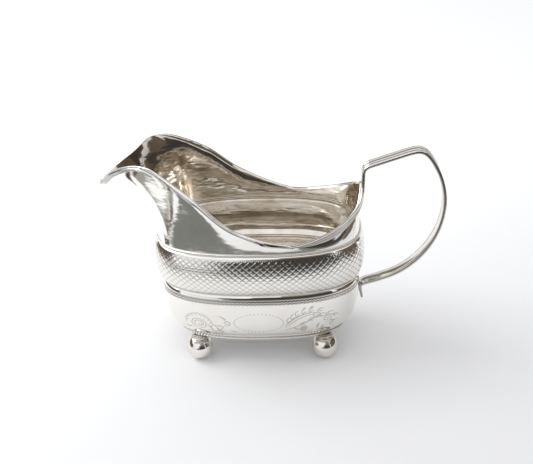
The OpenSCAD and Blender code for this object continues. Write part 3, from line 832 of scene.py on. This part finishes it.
# Bottom sheet, dished so that it meets the belly inside. Each corner of its two faces is a way in
# from the belly's skin or the hole in the base wire, and a height over the foot of the belly, the
# top of the base wire, or the underside or top of the base plate.
bottom = dict(turns=360, inset=8 * mm,
              upper=(("skin", 0.05, "belly", 0.5), ("skin", 0.5, "wire", 0.12),
                     ("hole", -0.4, "wire", 0.05), ("hole", 0.4, "wire", -0.5),
                     ("hole", 0.9, "top", 0.4), ("hole", 1.8, "top", 0),
                     ("hole", 6, "top", -0.02), ("hole", 12, "top", -0.04)),
              lower=(("hole", 12, "under", 0.02), ("hole", 2, "under", 0),
                     ("hole", 0, "under", 0), ("hole", 0, "top", 0),
                     ("hole", -0.02, "wire", 0), ("skin", 0.05, "wire", 0.02)))


def makeBottom():
    turns, _ = spreadTurns(bottom["turns"], bottom["inset"])
    wayIn = dict(skin=belly["baseInset"] + plan["sheet"],
                 hole=baseWire["inset"] + baseWire["width"])
    height = dict(belly=bellyLow.z, wire=baseHigh.z, under=plateLow.z, top=plateHigh.z)
    upper, lower = ([(wayIn[place] + more * mm, height[part] + over * mm)
                     for place, more, part, over in bottom[side]] for side in ("upper", "lower"))
    grid = planGrid(upper + lower, turns)
    rows, cols = grid.shape[:2]
    quads = gridQuads(rows, cols)
    split = len(upper) - 1                             # the middle is closed by two fans
    faces = quads[quads[:, 0] // cols != split].tolist()
    hubs = [[centreX, 0, upper[-1][1]], [centreX, 0, lower[0][1]]]
    points = np.concatenate([grid.reshape(-1, 3), hubs])
    hub = rows * cols
    for c in range(cols):
        d = (c + 1) % cols
        faces.append([split * cols + c, split * cols + d, hub])
        faces.append([(split + 1) * cols + d, (split + 1) * cols + c, hub + 1])
    piece = makeMesh("bottom_sheet", points, faces)
    finishPiece(piece, plateSilver, "plain_silver", "base_plate")


makeBottom()

# Ball feet, each with a solder seam round its middle and a turned collar. A ring of the collar is
# how far it lies inside the full radius, its share of the height and its painted shade.
foot = dict(count=4, segments=96, rows=72, seam=0.05 * mm, seamSpread=0.16 * mm, seamSink=0.98,
            overlap=0.2 * mm, neckShade=(0.85, 0.5 * mm), seamDirt=(0.3, 0.14 * mm),
            collar=((0.5, 0, 0.6), (0.12, 0.02, 0.4), (0, 0.14, 0), (0.1, 0.28, 0.2),
                    (0.42, 0.36, 0.7), (0.6, 0.5, 0.9), (0.55, 0.68, 0.8), (0.45, 0.84, 0.4),
                    (0.22, 0.95, 0.2), (0.25, 1, 0.3)))


def turnPiece(name, profile, x, y, shadeAndGrime):
    a = np.linspace(0, 2 * np.pi, foot["segments"], endpoint=False)
    grid = np.array([rowOfPoints(x + r * np.cos(a), y + r * np.sin(a), z) for r, z in profile])
    shadeAndGrime = np.asarray(shadeAndGrime)[:, None] * np.ones(len(a))
    return makeMesh(name, grid, barFaces(*grid.shape[:2]), shadeAndGrime)


def makeFoot(number):
    low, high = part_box(f"foot_cup_lower_{number}")
    collarLow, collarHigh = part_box(f"foot_collar_{number}")
    radius = (high.x - low.x) / 2
    x, y, centre = (low.x + high.x) / 2, (low.y + high.y) / 2, high.z
    flat = math.acos(min(1, centre / radius))          # where the ball is worn flat underneath
    top = math.acos((collarLow.z - centre + foot["overlap"]) / radius)
    a = np.linspace(np.pi - flat, top, foot["rows"])
    seam = foot["seam"] * np.exp(-((np.cos(a) * radius) / foot["seamSpread"]) ** 2)
    r = radius * np.sin(a) - foot["seam"] * foot["seamSink"] + seam
    z = centre + radius * np.cos(a)
    z[0] = 0
    # painted shade where the collar meets the ball, and the dark line of the solder seam
    darkBands = ((collarLow.z, foot["neckShade"]), (centre, foot["seamDirt"]))
    shadeAndDirt = sum(amount * np.exp(-((z - place) / spread) ** 2) for place, (amount, spread) in darkBands)
    ball = turnPiece(f"ball_foot_{number}", list(zip(r, z)), x, y, shadeAndDirt)
    finishPiece(ball, ballSilver, "ball_silver",
                f"foot_cup_upper_{number}", f"foot_cup_lower_{number}")
    wide, tall = (collarHigh.x - collarLow.x) / 2, collarHigh.z - collarLow.z
    profile = [(wide - sunk * mm, collarLow.z + share * tall) for sunk, share, _ in foot["collar"]]
    # painted shade on the collar, darkest on its sunk rings
    shadeAndGrime = [ringShade for _, _, ringShade in foot["collar"]]
    collar = turnPiece(f"foot_ring_{number}", profile, x, y, shadeAndGrime)
    finishPiece(collar, ballSilver, "ball_silver", f"foot_collar_{number}")


for number in range(1, foot["count"] + 1):
    makeFoot(number)

# Floor, studio and light. The floor has painted shade: it is paler at the back left and darker
# towards the front right.
# Flags and strips lie on the table and screens stand round it, and they only show in the silver.
studio = dict(
    floorSize=4.0, floorColour=(0.84, 0.845, 0.855), floorShade=(0.61, 0.61, 0.62), floorTurn=55,
    floorFade=(-0.06, 0.22), paperGloss=0.1, paperRoughness=0.9,
    skyStrength=1.0, skyHigh=(1.0, 1.0, 1.0), skyLow=(0.80, 0.81, 0.84), skyFade=(0.0, 0.6),
    exposure=0.0, bounces=16, glossyBounces=12, stripHeight=0.0015,
    # name, colour, height, corners
    flags=(("tableFlag", (0.20, 0.21, 0.195), 0.001,
            ((-0.2, -0.62), (0.6, -0.62), (0.6, -0.11), (-0.06, -0.11), (-0.1, -0.092),
             (-0.118, -0.06), (-0.134, -0.04), (-0.15, -0.07), (-0.15, -0.11), (-0.105, -0.142),
             (-0.07, -0.17))),
           ("paleFlag", (0.34, 0.345, 0.32), 0.001,
            ((-0.175, -0.12), (-0.15, -0.07), (-0.134, -0.04), (-0.146, -0.026), (-0.166, -0.024))),
           ("farFlag", (0.05, 0.045, 0.04), 0.0012,
            ((-0.16, -0.62), (0.6, -0.62), (0.6, -0.15), (-0.045, -0.15))),
           ("leftFlag", (0.13, 0.10, 0.08), 0.001,
            ((-0.6, -0.26), (-0.185, -0.10), (-0.185, 0.15), (-0.6, 0.25))),
           ("rightFlag", (0.15, 0.12, 0.095), 0.001,
            ((0.6, -0.30), (0.6, 0.2), (0.17, 0.1), (0.17, -0.09)))),
    # name, colour, width, near corner, far corner
    strips=(("darkStripNear", (0.09, 0.05, 0.04), 0.008, (-0.146, -0.03), (-0.143, 0.004)),
            ("lightStripNear", (0.9, 0.88, 0.85), 0.004, (-0.154, -0.085), (-0.148, -0.026)),
            ("brownStrip", (0.10, 0.06, 0.045), 0.005, (-0.162, -0.085), (-0.154, -0.03)),
            ("lightStripFar", (0.85, 0.8, 0.72), 0.004, (-0.168, -0.08), (-0.159, -0.045))),
    # name, colour, from and to in degrees from the front (-Y) to the right, bottom, top, distance
    screens=(("frontScreenLow", (0.045, 0.042, 0.037), -22, 46, 0.0, 0.10, 0.62),
             ("frontScreen", (0.06, 0.052, 0.043), -6, 46, 0.10, 0.36, 0.62),
             ("frontScreenHigh", (0.26, 0.23, 0.20), 4, 50, 0.36, 0.8, 0.62),
             ("leftScreen", (0.13, 0.10, 0.08), -125, -64, 0.0, 0.26, 0.62),
             ("rightScreen", (0.13, 0.10, 0.075), 53, 130, 0.0, 0.50, 0.62),
             ("backScreen", (0.21, 0.19, 0.165), 140, 220, 0.16, 0.62, 0.70)))
window = dict(place=(-0.7, 0.15, 0.75), aim=(0, 0, 0.04), size=(0.7, 0.5), power=5.0)


def plainMaterial(name, colour, glow=None):
    material = bpy.data.materials.new(name)
    material.use_nodes = True
    surface = material.node_tree.nodes["Principled BSDF"]
    surface.inputs["Base Color"].default_value = (*colour, 1)
    surface.inputs["Roughness"].default_value = studio["paperRoughness"]
    surface.inputs["Specular IOR Level"].default_value = studio["paperGloss"]
    if glow:
        surface.inputs["Emission Color"].default_value = (*glow, 1)
        surface.inputs["Emission Strength"].default_value = 1.0
    return material


def makeFloor():
    half = studio["floorSize"] / 2
    corners = [(-half, -half, 0), (half, -half, 0), (half, half, 0), (-half, half, 0)]
    floor = makeMesh("floor", corners, [[0, 1, 2, 3]])
    material = plainMaterial("paper", studio["floorColour"])
    nodes, links = material.node_tree.nodes, material.node_tree.links
    place = nodes.new("ShaderNodeTexCoord")
    turn = nodes.new("ShaderNodeMapping")
    turn.inputs["Rotation"].default_value = (0, 0, math.radians(studio["floorTurn"]))
    links.new(place.outputs["Object"], turn.inputs["Vector"])
    split = nodes.new("ShaderNodeSeparateXYZ")
    links.new(turn.outputs["Vector"], split.inputs["Vector"])
    spread = nodes.new("ShaderNodeMapRange")
    for socket, value in zip(("From Min", "From Max"), studio["floorFade"]):
        spread.inputs[socket].default_value = value
    links.new(split.outputs["X"], spread.inputs["Value"])
    # the ramp paints shade on the floor, from the pale colour to the shade colour towards the front
    # right
    ramp = nodes.new("ShaderNodeValToRGB")
    ramp.color_ramp.elements[0].color = (*studio["floorColour"], 1)
    ramp.color_ramp.elements[1].color = (*studio["floorShade"], 1)
    links.new(spread.outputs["Result"], ramp.inputs["Fac"])
    links.new(ramp.outputs["Color"], nodes["Principled BSDF"].inputs["Base Color"])
    floor.data.materials.append(material)


def makeCard(name, points, faces, colour):
    card = makeMesh(name, points, faces)
    card.data.materials.append(plainMaterial(name, (0, 0, 0), glow=colour))
    card.visible_camera = False
    card.visible_diffuse = False
    card.visible_shadow = False
    card.visible_transmission = False


def makeFlag(name, colour, height, corners):
    makeCard(name, [(x, y, height) for x, y in corners], [list(range(len(corners)))], colour)


def makeStrip(name, colour, width, near, far):
    corners = [near, (near[0] + width, near[1]), (far[0] + width, far[1]), far]
    makeFlag(name, colour, studio["stripHeight"], corners)


def makeScreen(name, colour, start, end, low, high, distance):
    a = np.radians(np.linspace(start, end, 25))
    x, y = distance * np.sin(a), -distance * np.cos(a)
    grid = np.array([rowOfPoints(x, y, z) for z in (low, high)])
    makeCard(name, grid, gridQuads(2, len(a), loopRows=False, loopCols=False).tolist(), colour)


def makeWorld():
    world = bpy.data.worlds.new("studio")
    scene.world = world
    world.use_nodes = True
    nodes, links = world.node_tree.nodes, world.node_tree.links
    place = nodes.new("ShaderNodeTexCoord")
    split = nodes.new("ShaderNodeSeparateXYZ")
    links.new(place.outputs["Generated"], split.inputs["Vector"])
    ramp = nodes.new("ShaderNodeValToRGB")
    for element, place, colour in zip(ramp.color_ramp.elements, studio["skyFade"],
                                      (studio["skyLow"], studio["skyHigh"])):
        element.position = place
        element.color = (*colour, 1)
    links.new(split.outputs["Z"], ramp.inputs["Fac"])
    links.new(ramp.outputs["Color"], nodes["Background"].inputs["Color"])
    nodes["Background"].inputs["Strength"].default_value = studio["skyStrength"]


# A soft window high at the left
def makeWindow():
    data = bpy.data.lights.new("window", "AREA")
    data.shape = "RECTANGLE"
    data.size, data.size_y = window["size"]
    data.energy = window["power"]
    light = bpy.data.objects.new("window", data)
    direction = Vector(window["aim"]) - Vector(window["place"])
    light.rotation_euler = direction.to_track_quat("-Z", "Y").to_euler()
    light.location = window["place"]
    light.visible_camera = False
    scene.collection.objects.link(light)


makeFloor()
makeWorld()
print("floor and sky ready")
for make, cards in ((makeFlag, studio["flags"]), (makeStrip, studio["strips"]),
                    (makeScreen, studio["screens"])):
    for card in cards:
        make(*card)
makeWindow()
scene.view_settings.view_transform = "Standard"
scene.view_settings.exposure = studio["exposure"]
scene.cycles.max_bounces = studio["bounces"]
scene.cycles.glossy_bounces = studio["glossyBounces"]
print("studio ready")
